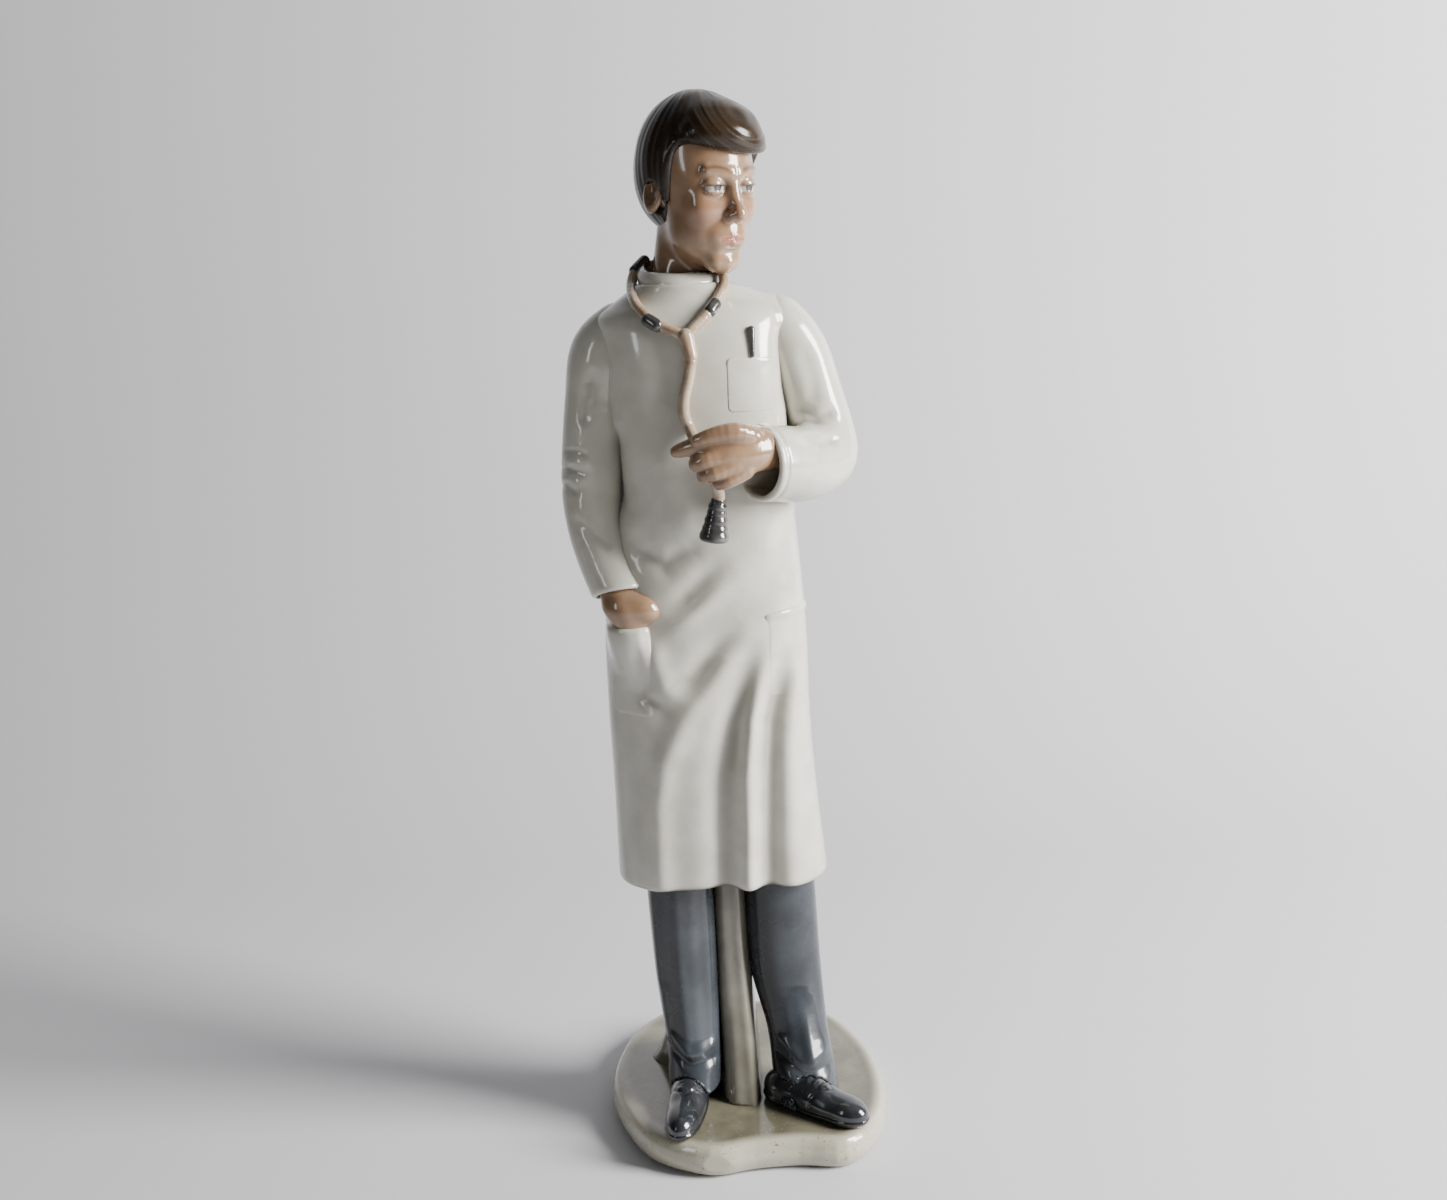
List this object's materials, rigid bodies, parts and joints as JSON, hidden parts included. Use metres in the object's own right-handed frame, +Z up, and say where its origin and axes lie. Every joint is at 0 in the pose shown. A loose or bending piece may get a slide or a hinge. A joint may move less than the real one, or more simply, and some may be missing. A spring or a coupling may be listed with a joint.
{
  "type": "porcelain figurine",
  "caption": "Standing porcelain figure of a young doctor in a long coat with a stethoscope, on a low free-form plinth with a flat foot ring.",
  "frame": {"origin": "middle of the overall box in plan, on the surface the foot ring stands on", "axes": "+Z up along the figure's height, -Y towards the viewer, -X the figure's own right side"},
  "size_m": [0.1164, 0.1226, 0.3957],
  "materials": {
    "coat_glaze": "glossy warm white glaze",
    "skin_glaze": "glossy tan glaze",
    "hair_glaze": "glossy brown glaze",
    "trouser_glaze": "glossy grey-blue glaze",
    "shoe_glaze": "glossy black-blue glaze",
    "dark_glaze": "glossy slate glaze",
    "tube_glaze": "glossy beige glaze",
    "post_glaze": "glossy taupe glaze",
    "plinth_glaze": "glossy cream glaze, olive on top"
  },
  "bodies": {
    "root": {"base_plinth": "plinth_glaze", "support_post": "post_glaze", "shoe_right": "shoe_glaze", "shoe_left": "shoe_glaze", "trouser_leg_right": "trouser_glaze", "trouser_leg_left": "trouser_glaze", "coat_body": "coat_glaze", "coat_collar": "coat_glaze", "sleeve_right": "coat_glaze", "sleeve_left": "coat_glaze", "hand_right": "skin_glaze", "hand_left": "skin_glaze", "hip_pocket_right": "coat_glaze", "hip_pocket_left": "coat_glaze", "breast_pocket": "coat_glaze", "pen": "dark_glaze", "head": "skin_glaze", "hair": "hair_glaze", "ear_tube_right": "tube_glaze", "ear_tube_left": "tube_glaze", "ear_tips": "dark_glaze", "tube_bands": "dark_glaze", "stethoscope_yoke": "tube_glaze", "stethoscope_tube_upper": "tube_glaze", "stethoscope_tube_lower": "tube_glaze", "chest_piece": "dark_glaze"}
  },
  "joints": []
}
